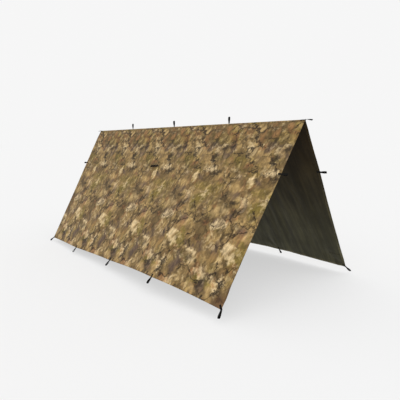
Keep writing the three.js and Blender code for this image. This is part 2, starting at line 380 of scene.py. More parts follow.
def camo(name, gain=1.0, shift=(0.0, 0.0), rough=0.82):
    """A leaf, bark and lichen print: soft blotches, leaf lobes, pale lichen and fine dark twigs."""
    m = Nodes(name)
    p, x, y = print_space(m, shift)
    warp = m.vmath("SUBTRACT", m.noise(p, 9.0, 3.0, 0.55, out="Color"), (0.5, 0.5, 0.5))
    q = m.vmath("ADD", p, m.vmath("SCALE", warp, scale=0.075))
    warp2 = m.vmath("SUBTRACT", m.noise(p, 34.0, 2.0, 0.5, out="Color"), (0.5, 0.5, 0.5))
    q2 = m.vmath("ADD", q, m.vmath("SCALE", warp2, scale=0.022))
    g = lambda c: lift(srgb(*c), gain)
    # ground: soft brown to tan blotches
    base = m.ramp(m.noise(q, 5.6, 3.0, 0.55), [(0.30, g((80, 66, 42))), (0.41, g((112, 94, 62))), (0.51, g((138, 117, 80))),
                                               (0.61, g((168, 144, 100))), (0.71, g((196, 172, 126)))])
    # olive and mauve-grey clouds
    base = m.mix(m.math("MULTIPLY", m.step(m.noise(m.vmath("ADD", q, (3.1, 1.7, 0.4)), 4.8, 3.0, 0.5), 0.50, 0.62), 0.70), base, g((124, 111, 50)))
    base = m.mix(m.math("MULTIPLY", m.step(m.noise(m.vmath("ADD", q, (7.3, 2.2, 5.4)), 5.2, 3.0, 0.5), 0.51, 0.62), 0.80), base, g((104, 87, 77)))
    # leaf lobes: slanting cells with their own tone, darker towards their edges
    flat = m.vmath("MULTIPLY", q2, (1.0, 1.0, 0.62))
    tone = m.split(m.voronoi(flat, 15.0, out="Color"))
    lobe = m.ramp(tone[0], [(0.0, g((92, 76, 48))), (0.3, g((128, 108, 70))), (0.55, g((158, 134, 88))), (0.8, g((182, 158, 112))), (1.0, g((208, 186, 144)))])
    lobe = m.mix(m.step(tone[1], 0.80, 0.90, 0.0, 0.7), lobe, g((154, 112, 76)))
    rim = m.step(m.voronoi(flat, 15.0, feature="DISTANCE_TO_EDGE"), 0.0, 0.20, 0.66, 1.05)
    lobe = m.mix(1.0, lobe, m.xyz(rim, rim, rim), "MULTIPLY")
    where = m.step(m.noise(m.vmath("ADD", p, (1.3, 9.2, 2.6)), 6.0, 3.0, 0.55), 0.44, 0.60)
    base = m.mix(m.math("MULTIPLY", where, 0.62), base, lobe)
    # smaller leaves
    tone2 = m.split(m.voronoi(m.vmath("ADD", m.vmath("MULTIPLY", q2, (1.0, 1.0, 0.6)), (4.0, 0.0, 1.0)), 36.0, out="Color"))
    small = m.ramp(tone2[0], [(0.0, g((84, 68, 42))), (0.4, g((130, 109, 71))), (0.75, g((170, 147, 98))), (1.0, g((206, 186, 146)))])
    where2 = m.step(m.noise(m.vmath("ADD", p, (5.3, 2.2, 8.6)), 9.0, 3.0, 0.55), 0.48, 0.62)
    base = m.mix(m.math("MULTIPLY", where2, 0.48), base, small)
    # pale lichen patches, rust leaves and deep shade between them
    pale = m.step(m.noise(m.vmath("ADD", q, (2.0, 6.0, 0.0)), 7.5, 4.0, 0.6), 0.555, 0.68)
    base = m.mix(m.math("MULTIPLY", pale, 0.86), base, g((206, 186, 148)))
    lichen = m.step(m.noise(m.vmath("ADD", q2, (2.0, 6.0, 7.0)), 17.0, 5.0, 0.62), 0.58, 0.69)
    base = m.mix(m.math("MULTIPLY", lichen, 0.50), base, g((198, 180, 144)))
    rust = m.step(m.noise(m.vmath("ADD", q2, (8.0, 1.0, 3.0)), 8.5, 3.0, 0.55), 0.57, 0.70)
    base = m.mix(m.math("MULTIPLY", rust, 0.60), base, g((152, 112, 76)))
    deep = m.step(m.noise(m.vmath("ADD", q, (6.0, 4.0, 9.0)), 8.0, 4.0, 0.6), 0.55, 0.67)
    base = m.mix(m.math("MULTIPLY", deep, 0.74), base, g((66, 54, 34)))
    # twigs
    warp3 = m.vmath("SUBTRACT", m.noise(p, 10.0, 4.0, 0.6, out="Color"), (0.5, 0.5, 0.5))
    tw = m.vmath("ADD", p, m.vmath("SCALE", warp3, scale=0.17))
    for scale, width, off, amount, lo in ((3.4, 0.030, (0.0, 0.0, 0.0), 0.92, 0.43), (6.6, 0.034, (3.0, 5.0, 2.0), 0.76, 0.49)):
        edge = m.voronoi(m.vmath("ADD", tw, off), scale, feature="DISTANCE_TO_EDGE")
        line = m.step(edge, 0.0, width, 1.0, 0.0)
        seen = m.step(m.noise(m.vmath("ADD", p, (off[0] + 2.0, 1.0, 4.0)), 7.0, 3.0, 0.5), lo, lo + 0.08)
        base = m.mix(m.math("MULTIPLY", m.math("MULTIPLY", line, seen), amount), base, g((50, 38, 22)))
    # upright bark strokes and fine mottling
    lean = m.math("ADD", x, m.math("MULTIPLY", y, 0.15))
    stroke = m.noise(m.xyz(m.math("MULTIPLY", lean, 44.0), m.math("MULTIPLY", y, 17.0), 0.0), 1.0, 3.0, 0.55)
    k = m.math("MULTIPLY", m.step(stroke, 0.28, 0.72, 0.76, 1.24), m.step(m.noise(p, 120.0, 3.0, 0.6), 0.3, 0.7, 0.92, 1.08))
    base = m.mix(1.0, base, m.xyz(k, k, k), "MULTIPLY")
    # a plain brown patch at the near slope's front eave corner: partly the print's brown, partly painted shade of the
    # folds there
    corner = m.step(m.vmath_len(m.vmath("SUBTRACT", m.xyz(x, y, 0.0), (LENGTH, SLOPE + 0.03, 0.0))), 0.09, 0.17, 0.70, 0.0)
    base = m.mix(corner, base, g((104, 82, 58)))
    # a little more depth between the darks and the lights
    soft = m.new("ShaderNodeGamma")
    m.put(soft.inputs[0], base)
    soft.inputs[1].default_value = 1.28
    base = m.mix(1.0, soft.outputs[0], (1.55, 1.56, 1.62), "MULTIPLY")
    m.put(m.bsdf.inputs["Base Color"], base)
    m.bsdf.inputs["Roughness"].default_value = rough
    m.bsdf.inputs["Specular IOR Level"].default_value = 0.25
    m.bsdf.inputs["Sheen Weight"].default_value = 0.05
    # plain weave and a slight crumple
    wx, wy = m.math("SINE", m.math("MULTIPLY", x, 2 * math.pi / 0.0011)), m.math("SINE", m.math("MULTIPLY", y, 2 * math.pi / 0.0011))
    weave = m.math("MULTIPLY", wx, wy)
    crumple = m.noise(m.xyz(x, y, 0.0), 38.0, 5.0, 0.6)
    n1 = m.bump(crumple, 0.16, 0.004)
    m.put(m.bsdf.inputs["Normal"], m.bump(weave, 0.10, 0.0002, n1))
    return m.mat


def lining(name, colour, eave, rough=0.5):
    """Dark coated back of the cloth, with soft blotches of wear and fine creases, painted light and shade in streaks
    along the wrinkles, and painted shade that makes it darker near the ridge and lighter towards the eave.
    """
    m = Nodes(name)
    x, y, _ = m.split(m.uv())
    v = m.xyz(x, y, 0.0)
    k = m.step(m.noise(v, 5.0, 5.0, 0.6), 0.3, 0.7, 0.84, 1.16)
    lean = m.math("ADD", x, m.math("MULTIPLY", y, 0.10))
    # painted highlight and shade: streaks down the slope at the wrinkles' spacing, lighter and darker as light falls on
    # wrinkles
    painted_wrinkle_light = m.step(m.noise(m.xyz(m.math("MULTIPLY", lean, 13.0), m.math("MULTIPLY", y, 1.5), 0.0), 1.0, 4.0, 0.55), 0.36, 0.70, 0.72, 1.55)
    k = m.math("MULTIPLY", k, painted_wrinkle_light)
    # painted shade: darker near the ridge and lighter towards the eave, standing in for how the inside of the shelter
    # is lit
    painted_shade_ramp = m.step(m.math("ABSOLUTE", y), 0.10, 1.45)
    tone = m.mix(painted_shade_ramp, colour, eave)
    m.put(m.bsdf.inputs["Base Color"], m.mix(1.0, tone, m.xyz(k, k, k), "MULTIPLY"))
    m.bsdf.inputs["Roughness"].default_value = rough
    m.bsdf.inputs["Specular IOR Level"].default_value = 0.10
    wx, wy = m.math("SINE", m.math("MULTIPLY", x, 2 * math.pi / 0.0011)), m.math("SINE", m.math("MULTIPLY", y, 2 * math.pi / 0.0011))
    crease = m.noise(m.xyz(m.math("MULTIPLY", x, 1.0), m.math("MULTIPLY", y, 0.35), 0.0), 46.0, 5.0, 0.6)
    n1 = m.bump(crease, 0.28, 0.004)
    m.put(m.bsdf.inputs["Normal"], m.bump(m.math("MULTIPLY", wx, wy), 0.08, 0.0002, n1))
    return m.mat


def webbing(name):
    """Black woven tape: a fine herringbone along its length, selvedge at the sides."""
    m = Nodes(name)
    x, y, _ = m.split(m.uv())  # x along the tape, y across it, in metres
    rib = m.math("SINE", m.math("MULTIPLY", y, 2 * math.pi / 0.0025))
    zig = m.math("ABSOLUTE", m.math("SUBTRACT", m.math("FRACT", m.math("MULTIPLY", y, 1 / 0.005)), 0.5))
    twill = m.math("SINE", m.math("MULTIPLY", m.math("ADD", x, m.math("MULTIPLY", zig, 0.005)), 2 * math.pi / 0.0016))
    h = m.math("ADD", m.math("MULTIPLY", twill, 0.6), m.math("MULTIPLY", rib, 0.25))
    worn = m.noise(m.xyz(x, y, 0.0), 260.0, 4.0, 0.6)
    c = m.mix(m.step(h, -0.8, 0.9), srgb(9, 9, 8), srgb(26, 25, 22))
    c = m.mix(m.math("MULTIPLY", m.step(worn, 0.5, 0.75), 0.30), c, srgb(38, 36, 32))
    m.put(m.bsdf.inputs["Base Color"], c)
    m.bsdf.inputs["Roughness"].default_value = 0.8
    m.bsdf.inputs["Specular IOR Level"].default_value = 0.08
    m.put(m.bsdf.inputs["Normal"], m.bump(m.math("ADD", h, m.math("MULTIPLY", worn, 0.4)), 0.55, 0.0004))
    return m.mat


def thread(name, colour):
    m = Nodes(name)
    obj = m.new("ShaderNodeTexCoord").outputs["Object"]
    k = m.step(m.noise(obj, 900.0, 2.0, 0.5), 0.3, 0.7, 0.75, 1.2)
    m.put(m.bsdf.inputs["Base Color"], m.mix(1.0, colour, m.xyz(k, k, k), "MULTIPLY"))
    m.bsdf.inputs["Roughness"].default_value = 0.6
    return m.mat


GAIN = 0.80
CAMO = camo("camo_print", GAIN)
CAMO_HEM = camo("camo_print_hem", GAIN, (0.21, 0.37))
# the print at 55% brightness for the cloth's cut rims and the ridge seam's rim: painted shade on the edges
CAMO_PAINTED_SHADE_RIM = camo("camo_print_edge_painted_shade", GAIN * 0.55, (0.11, 0.17))
LINING = lining("coated_back", srgb(38, 28, 10), srgb(62, 60, 43), 0.42)
PATCHCLOTH = lining("patch_cloth", srgb(36, 27, 12), srgb(62, 60, 44), 0.5)
HEMCLOTH = lining("turned_hem", srgb(44, 34, 16), srgb(84, 80, 58), 0.5)
WEBBING = webbing("black_webbing")
THREAD_BROWN = thread("thread_brown", srgb(84, 70, 46))
THREAD_BLACK = thread("thread_black", srgb(30, 29, 27))

# ------------------------------------------------------------------- cloths
HALF = CLOTH_T / 2
HEM_W, PATCH_W, CENTRE_W = 0.022, 0.115, 0.100
U1, V1 = 1 / LENGTH, 1 / SLOPE  # one metre, as a share of the length and of the slope
FLAT_SHIFT = {"near": 0.0, "far": 0.34}


def flat_uv(side, u, v):
    """Flat cloth coordinates in metres; the far slope carries on past the ridge."""
    u, v = np.broadcast_arrays(u, v)
    return np.stack([u * LENGTH + FLAT_SHIFT[side], v * SLOPE * -SIGN[side]], -1)


def cloth_slab(name, side, us, vs, hi, lo, mats, wave=None):
    u, v = np.meshgrid(us, vs, indexing="ij")
    ex = 0.0 if wave is None else wave(u, v)
    top, bottom = cloth(side, u, v, hi, ex), cloth(side, u, v, lo, ex)
    f = flat_uv(side, u, v)
    # grid order (u, v) turns outward on the far slope
    return slab(name, top, bottom, f, f, mats, SIGN[side])


for side in SIDES:
    o = cloth_slab(f"{side}_cloth", side, GRID_U, GRID_V, HALF, -HALF, [CAMO, LINING, CAMO_PAINTED_SHADE_RIM])
    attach(o, f"{side}_slope")
    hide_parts(f"{side}_slope_panel")

# ------------------------------------------------- hems, patches, their seams
HEM_HI, HEM_LO = -HALF - 0.00008, -HALF - 0.00090


def pucker(seed, edge):
    """Small gathers along a sewn edge, always away from the cloth."""
    def wave(u, v):
        t = (u * LENGTH if edge == "u" else v * SLOPE) * 1.0
        return -0.00035 * (0.5 + 0.5 * noise(t * 75, 0 * t + 2.5, seed)) + 0 * v
    return wave


def hem(name, side, us, vs, along, seed):
    o = cloth_slab(f"{name}_strip", side, us, vs, HEM_HI, HEM_LO, [HEMCLOTH, HEMCLOTH, HEMCLOTH], pucker(seed, along))
    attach(o, f"{side}_slope")
    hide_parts(name)
    return o


def patch(name, side, us, vs):
    o = cloth_slab(f"{name}_cloth", side, us, vs, HEM_HI, HEM_LO, [PATCHCLOTH, PATCHCLOTH, PATCHCLOTH])
    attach(o, f"{side}_slope")
    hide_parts(name)
    return o


class Stitches:
    """Rows of thread, each stitch a small pointed bead half sunk in the cloth."""

    def __init__(self, name, mat, body):
        self.name, self.mat, self.body, self.v, self.f, self.count = name, mat, body, [], [], 0

    def row(self, mid, along, across, up, length=0.0036, width=0.0007, height=0.00042):
        mid = np.asarray(mid, float).reshape(-1, 3)
        along, across, up = (np.broadcast_to(np.asarray(x, float).reshape(-1, 3), mid.shape) for x in (along, across, up))
        a, w, h = along * length / 2, across * width / 2, up * height
        pts = np.stack([mid - a, mid - w - a * 0.3, mid + h - a * 0.4, mid + w - a * 0.3, mid - h * 0.6,
                        mid - w + a * 0.3, mid + h + a * 0.4, mid + w + a * 0.3, mid + a], 1)
        q = [(0, 2, 1), (0, 3, 2), (0, 1, 4), (0, 4, 3), (1, 2, 6, 5), (2, 3, 7, 6), (1, 5, 4), (3, 4, 7), (5, 6, 8), (6, 7, 8), (5, 8, 4), (7, 4, 8)]
        for k in range(len(pts)):
            b = self.count + 9 * k
            self.f += [tuple(b + i for i in face) for face in q]
        self.v.append(pts.reshape(-1, 3))
        self.count += 9 * len(pts)

    def on_cloth(self, side, u, v, off, out, direction):
        """A row through the cloth at u, v; direction 'u' or 'v' is the way the thread runs."""
        u, v = np.broadcast_arrays(np.asarray(u, float), np.asarray(v, float))
        p = cloth(side, u, v, off)
        a, s, n = axes(side, u, v)
        self.row(p, a if direction == "u" else s, s if direction == "u" else a, n * out)

    def make(self):
        o = mesh_object(self.name, np.vstack(self.v), self.f, [self.mat])
        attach(o, self.body)
        return o


PITCH = 0.0050


def marks(lo, hi, total):
    """Stitch positions from lo to hi (shares of `total` metres), one every PITCH."""
    n = max(int(round((hi - lo) * total / PITCH)), 2)
    return lo + (hi - lo) * (np.arange(n) + 0.5) / n


for k, side in enumerate(SIDES):
    edge_v = 1 - HEM_W * V1
    hem(f"{side}_eave_hem", side, dense(241, 0.04, 0.0006 * U1, 1 - 0.0006 * U1), np.linspace(edge_v, 1 - 0.0004 * V1, 7), "u", 31 + k)
    v_lo, v_hi = 0.026 * V1, edge_v - 0.0006 * V1
    hem(f"{side}_back_hem", side, np.linspace(0.0004 * U1, HEM_W * U1, 7), np.linspace(v_lo, v_hi, 121), "v", 41 + k)
    hem(f"{side}_front_hem", side, np.linspace(1 - HEM_W * U1, 1 - 0.0004 * U1, 7), np.linspace(v_lo, v_hi, 121), "v", 51 + k)
    g = 0.0010
    pv = np.linspace(1 - (HEM_W + PATCH_W) * V1, edge_v - g * V1, 15)
    patch(f"{side}_back_corner_patch", side, np.linspace((HEM_W + g) * U1, (HEM_W + PATCH_W) * U1, 15), pv)
    patch(f"{side}_front_corner_patch", side, np.linspace(1 - (HEM_W + PATCH_W) * U1, 1 - (HEM_W + g) * U1, 15), pv)
    patch(f"{side}_centre_patch", side, np.linspace(0.5 - CENTRE_W / 2 * U1, 0.5 + CENTRE_W / 2 * U1, 13),
          np.linspace(ROW - CENTRE_W / 2 * V1, ROW + CENTRE_W / 2 * V1, 13))
    st = Stitches(f"{side}_seam_thread", THREAD_BROWN, f"{side}_slope")
    inset = 0.0032
    for off, out in ((HALF, 1.0), (HEM_LO - 0.0001, -1.0)):
        st.on_cloth(side, marks(0.004 * U1, 1 - 0.004 * U1, LENGTH), 1 - (HEM_W - inset) * V1, off, out, "u")
        for u0 in ((HEM_W - inset) * U1, 1 - (HEM_W - inset) * U1):
            st.on_cloth(side, u0, marks(0.03 * V1, 1 - 0.026 * V1, SLOPE), off, out, "v")
    # the patches are sewn round their edges, seen on both faces
    boxes = [((HEM_W + 0.004) * U1, (HEM_W + PATCH_W - 0.004) * U1, 1 - (HEM_W + PATCH_W - 0.004) * V1, 1 - (HEM_W + 0.004) * V1),
             (1 - (HEM_W + PATCH_W - 0.004) * U1, 1 - (HEM_W + 0.004) * U1, 1 - (HEM_W + PATCH_W - 0.004) * V1, 1 - (HEM_W + 0.004) * V1),
             (0.5 - (CENTRE_W / 2 - 0.004) * U1, 0.5 + (CENTRE_W / 2 - 0.004) * U1, ROW - (CENTRE_W / 2 - 0.004) * V1, ROW + (CENTRE_W / 2 - 0.004) * V1)]
    for u0, u1, v0, v1 in boxes:
        for off, out in ((HALF, 1.0), (HEM_LO, -1.0)):
            for v in (v0, v1):
                st.on_cloth(side, marks(u0, u1, LENGTH), v, off, out, "u")
            for u in (u0, u1):
                st.on_cloth(side, u, marks(v0, v1, SLOPE), off, out, "v")
    st.make()

# --------------------------------------------------------------- ridge seam
CAP_T, CAP_GAP, CAP_REACH, CAP_STOP = 0.0008, 0.00012, 0.017, 0.002


def ridge_section(u, s, up):
    """Points of a strip folded over the ridge: s in metres, negative down the near slope, positive down the far one."""
    out = np.empty((len(u), len(s), 3))
    n_near, n_far = normal("near", u, 0 * u), normal("far", u, 0 * u)
    for j, d in enumerate(s):
        side = "near" if d < 0 else "far"
        out[:, j] = cloth(side, u, np.full_like(u, abs(d) * V1), HALF + up)
    # round the top over with the mean of the two slopes
    bend = 0.0032
    a, b = cloth("near", u, np.full_like(u, bend * V1), HALF + up), cloth("far", u, np.full_like(u, bend * V1), HALF + up)
    apex = (cloth("near", u, 0 * u, HALF + up) + cloth("far", u, 0 * u, HALF + up)) / 2
    top = apex + np.array([0, 0, 1.0]) * 0.0006
    for j, d in enumerate(s):
        if abs(d) < bend:
            t = (d + bend) / (2 * bend)
            out[:, j] = (1 - t) ** 2 * a + 2 * t * (1 - t) * (2 * top - (a + b) / 2) + t**2 * b
    return out


cap_u = dense(241, 0.04, CAP_STOP * U1, 1 - CAP_STOP * U1)
cap_s = np.concatenate([np.linspace(-CAP_REACH, -0.0034, 9), np.linspace(-0.0028, 0.0028, 9), np.linspace(0.0034, CAP_REACH, 9)])
cap_top, cap_bottom = ridge_section(cap_u, cap_s, CAP_GAP + CAP_T), ridge_section(cap_u, cap_s, CAP_GAP)
cap_uv = np.stack(np.broadcast_arrays(cap_u[:, None] * LENGTH + 0.17, cap_s[None, :] + 0.4), -1)
cap = slab("ridge_seam", cap_top, cap_bottom, cap_uv, cap_uv, [CAMO_HEM, LINING, CAMO_PAINTED_SHADE_RIM], 1.0)
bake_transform(cap)
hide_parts("ridge_seam_cap")
for side in SIDES:
    st = Stitches(f"{side}_ridge_thread", THREAD_BROWN, f"{side}_slope")
    for d in (0.0125, 0.0150):
        st.on_cloth(side, marks(0.004 * U1, 1 - 0.004 * U1, LENGTH), d * V1, HALF + CAP_GAP + CAP_T, 1.0, "u")
        st.on_cloth(side, marks(0.004 * U1, 1 - 0.004 * U1, LENGTH), d * V1, -HALF, -1.0, "u")
    st.make()

# ------------------------------------------------------- loops and their tails
TABLE = {
    "near_back_corner_loop": ((-1.45748, -0.66377, 0.04463), (-0.62198, -0.45120, -0.63997), (0.00968, -0.82166, 0.56989)),
    "near_back_corner_tail": ((-1.45051, -0.66015, 0.05117), (0.68316, 0.30083, 0.66542), (-0.07698, -0.87646, 0.47528)),
    "near_back_loop": ((-0.74503, -0.71388, 0.06755), (-0.00828, -0.67883, -0.73425), (-0.05721, -0.73275, 0.67809)),
    "near_back_tail": ((-0.74501, -0.71198, 0.06956), (-0.00379, 0.51165, 0.85919), (-0.05768, -0.85787, 0.51061)),
    "near_middle_loop": ((-0.01304, -0.73189, 0.09357), (-0.02153, -0.69325, -0.72037), (-0.05779, -0.71847, 0.69315)),
    "near_middle_tail": ((-0.01298, -0.72995, 0.09554), (0.00904, 0.52873, 0.84874), (-0.06100, -0.84691, 0.52823)),
    "near_front_loop": ((0.71098, -0.77990, 0.12961), (-0.02808, -0.72287, -0.69041), (0.00037, -0.69069, 0.72315)),
    "near_front_tail": ((0.71106, -0.77788, 0.13150), (0.02755, 0.56347, 0.82568), (-0.00548, -0.82589, 0.56380)),
    "near_front_corner_loop": ((1.43616, -0.74687, 0.08557), (0.16996, -0.59952, -0.78210), (0.05345, -0.78687, 0.61480)),
    "near_front_corner_tail": ((1.42961, -0.74267, 0.09203), (-0.67300, 0.35139, 0.65085), (0.07092, -0.84523, 0.52968)),
    "near_back_side_loop": ((-1.48807, -0.18605, 0.92072), (-0.99845, -0.05557, -0.00432), (0.04670, -0.87631, 0.47948)),
    "near_back_side_tail": ((-1.48536, -0.18554, 0.92053), (0.99927, -0.00570, 0.03775), (-0.02306, -0.87805, 0.47801)),
    "near_front_side_loop": ((1.48156, -0.21177, 0.93345), (0.99784, -0.06463, -0.01203), (-0.04819, -0.84353, 0.53491)),
    "near_front_side_tail": ((1.47885, -0.21125, 0.93326), (-0.99877, 0.00563, 0.04931), (0.02153, -0.84599, 0.53277)),
    "near_centre_loop": ((-0.00410, -0.21000, 0.93776), (-0.91907, -0.36203, -0.15568), (0.21004, -0.78426, 0.58380)),
    "near_centre_tail": ((-0.00120, -0.20612, 0.93652), (0.94259, 0.16155, 0.29229), (-0.01854, -0.84854, 0.52880)),
    "far_back_corner_loop": ((-1.49545, 0.78279, 0.07770), (-0.63342, 0.51475, -0.57776), (0.08875, 0.79005, 0.60659)),
    "far_back_corner_tail": ((-1.48831, 0.77849, 0.08361), (0.70417, -0.36925, 0.60647), (-0.00027, 0.85400, 0.52027)),
    "far_back_loop": ((-0.74499, 0.78187, 0.07956), (0.00489, 0.68655, -0.72707), (0.00470, 0.72705, 0.68657)),
    "far_back_tail": ((-0.74501, 0.77995, 0.08155), (-0.00381, -0.52038, 0.85393), (0.00562, 0.85391, 0.52040)),
    "far_middle_loop": ((0.00500, 0.77487, 0.07455), (0.00340, 0.68223, -0.73113), (-0.00062, 0.73114, 0.68223)),
    "far_middle_tail": ((0.00499, 0.77296, 0.07656), (-0.00346, -0.51531, 0.85700), (0.00010, 0.85700, 0.51531)),
    "far_front_loop": ((0.75500, 0.78287, 0.07756), (0.00353, 0.60669, -0.79493), (0.00385, 0.79492, 0.60670)),
    "far_front_tail": ((0.75499, 0.78095, 0.07955), (-0.00311, -0.52027, 0.85399), (0.00420, 0.85398, 0.52028)),
    "far_front_corner_loop": ((1.48335, 0.77481, 0.06262), (0.48718, 0.55294, -0.67595), (-0.04823, 0.78987, 0.61137)),
    "far_front_corner_tail": ((1.47637, 0.77063, 0.06876), (-0.69817, -0.35407, 0.62225), (0.02004, 0.85914, 0.51135)),
    "far_back_side_loop": ((-1.49984, 0.26294, 0.93099), (-0.99756, 0.06165, 0.03272), (0.06967, 0.85177, 0.51926)),
    "far_back_side_tail": ((-1.49714, 0.26242, 0.93069), (0.99999, -0.00208, 0.00358), (-0.00008, 0.85400, 0.52028)),
    "far_front_side_loop": ((1.49612, 0.26046, 0.92633), (0.99789, 0.06103, 0.02199), (-0.06368, 0.85704, 0.51130)),
    "far_front_side_tail": ((1.49342, 0.25994, 0.92606), (-0.99991, -0.00110, 0.01373), (0.00608, 0.85921, 0.51159)),
    "far_centre_loop": ((0.00155, 0.26337, 0.93182), (-0.91062, 0.37999, -0.16243), (0.22707, 0.78850, 0.57158)),
    "far_centre_tail": ((0.00437, 0.25941, 0.93064), (0.93850, -0.17794, 0.29588), (0.00003, 0.85700, 0.51531)),
    "ridge_back_loop": ((-0.75050, 0.02530, 1.31662), (-0.00000, 0.00000, 1.00000), (0.00000, -1.00000, 0.00000)),
    "ridge_middle_loop": ((0.00000, 0.02530, 1.31662), (-0.11915, 0.00000, 0.99288), (0.00000, -1.00000, 0.00000)),
    "ridge_front_loop": ((0.75050, 0.02530, 1.31662), (-0.00000, 0.00000, 1.00000), (0.00000, -1.00000, 0.00000)),
    "ridge_back_end_loop": ((-1.50260, 0.02899, 1.31625), (-1.00000, 0.00000, 0.00000), (0.00000, -0.00000, 1.00000)),
    "ridge_back_end_tail": ((-1.49872, 0.02464, 1.30586), (1.00000, 0.00000, 0.00000), (0.00000, -0.87795, 0.47876)),
    "ridge_front_end_loop": ((1.50260, 0.02899, 1.31625), (1.00000, 0.00000, 0.00000), (0.00000, 0.00000, 1.00000)),
    "ridge_front_end_tail": ((1.49859, 0.02414, 1.30616), (-1.00000, 0.00000, 0.00000), (0.00000, -0.84567, 0.53371)),
}


def frame_of(node):
    p, l, n = (np.array(x, float) for x in TABLE[node])
    return p, l, n, np.cross(l, n)


def oval(width, thick, n=18, power=0.34):
    """The tape's section: flat faces with rounded selvedges."""
    t = np.arange(n) * 2 * math.pi / n
    c, s = np.cos(t), np.sin(t)
    w = np.sign(c) * np.abs(c) ** power * width / 2
    h = np.sign(s) * np.abs(s) ** 0.6 * thick / 2
    return np.stack([w, h], 1), t


def tape(name, path, across, up, width=0.015, thick=0.0013, seed=0, wave=0.0):
    """A woven tape along `path`; `across` runs over its width and `up` stands off its face."""
    sec, t = oval(width, thick)
    s = np.concatenate([[0], np.cumsum(np.linalg.norm(np.diff(path, axis=0), axis=1))])
    w = width * (1 + 0.02 * np.sin(s * 190 + seed))
    pts = path[:, None] + sec[None, :, 0:1] * (w / width)[:, None, None] * across[:, None] + sec[None, :, 1:2] * up[:, None]
    n, m = len(path), len(sec)
    verts = pts.reshape(-1, 3)
    faces = []
    for i in range(n - 1):
        for j in range(m):
            k = (j + 1) % m
            faces.append((i * m + j, (i + 1) * m + j, (i + 1) * m + k, i * m + k))
    faces.append(tuple(range(m)))
    faces.append(tuple(reversed([(n - 1) * m + j for j in range(m)])))
    uv = np.stack([np.repeat(s, m), np.tile(sec[:, 0], n) + np.where(np.tile(sec[:, 1], n) < 0, 0.05, 0)], 1)
    return verts, faces, uv


def tape_object(name, parts):
    """One mesh from several tapes."""
    v, f, uv, base = [], [], [], 0
    for verts, faces, uvs in parts:
        v.append(verts)
        uv.append(uvs)
        f += [tuple(base + i for i in face) for face in faces]
        base += len(verts)
    o = mesh_object(name, np.vstack(v), f, [WEBBING], uv=np.vstack(uv))
    return o


def catmull(points, n):
    pts = np.array(points, float)
    return spline(pts, np.linspace(0, 1, n))


# loops that lie twisted or droop a little: turn over their length in radians, droop at the tip in metres
LAY = {"ridge_front_end_loop": (0.62, -0.0072), "ridge_back_end_loop": (-0.5, -0.0060)}


def loop(node, seed):
    rng = np.random.default_rng(seed)
    p, l, n, h = frame_of(node)
    fat, tip = rng.uniform(0.80, 1.10), rng.uniform(-0.0012, 0.0002)
    turn, tilt, sag = rng.uniform(-0.10, 0.10), rng.uniform(-0.05, 0.05), rng.uniform(-0.0012, 0.0012)
    turn, sag = LAY.get(node, (turn, sag))
    fat = 0.30 if node in LAY else fat
    upper = [(0.0003, 0.00075), (0.0035, 0.00080), (0.0120, 0.00105), (0.0240, 0.0040 * fat), (0.0350, 0.0055 * fat), (0.0455, 0.0055 * fat), (0.0530, 0.0038 * fat), (0.0572 + tip, 0.0)]
    lower = [(a, -b * rng.uniform(0.93, 1.0) if a > 0.02 else -b) for a, b in upper[:-1]][::-1]
    q = catmull(upper + lower, 73)
    a = q[:, 0]
    k = np.clip(a / 0.058, 0, 1)
    th = turn * k**1.5
    nn = np.cos(th)[:, None] * n + np.sin(th)[:, None] * h
    hh = np.cos(th)[:, None] * h - np.sin(th)[:, None] * n
    path = p + a[:, None] * l + q[:, 1:2] * nn + (tilt * a * k)[:, None] * h + (sag * k**2)[:, None] * n
    tan = np.gradient(path, axis=0)
    tan /= np.linalg.norm(tan, axis=1, keepdims=True)
    up = np.cross(hh, tan)
    up /= np.linalg.norm(up, axis=1, keepdims=True)
    o = tape_object(node.replace("_loop", "_web_loop"), [tape(node, path, hh, up, seed=seed)])
    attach(o, node)
    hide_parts(node)
    return o


def uv_of(side, x):
    """Where a point sits on a slope: the u and v of its foot."""
    x = np.asarray(x, float) - SHIFT
    u = np.clip((x[..., 0] - 0.02) / 2.96, 0.003, 0.997)
    v = np.clip((RIDGE_Z - x[..., 2]) / 1.24, 0.0, 1.0)
    for _ in range(6):
        d = 1e-4
        uc, vc = np.clip(u, d, 1 - d), v
        f = plane(side, uc, vc)
        du = (plane(side, uc + d, vc) - plane(side, uc - d, vc)) / (2 * d)
        dv = (plane(side, uc, vc + d) - plane(side, uc, vc - d)) / (2 * d)
        r = x - f - (u - uc)[..., None] * du
        a11, a12, a22 = (du * du).sum(-1), (du * dv).sum(-1), (dv * dv).sum(-1)
        b1, b2 = (r * du).sum(-1), (r * dv).sum(-1)
        det = a11 * a22 - a12 * a12
        u, v = u + (a22 * b1 - a12 * b2) / det, v + (a11 * b2 - a12 * b1) / det
    return u, v


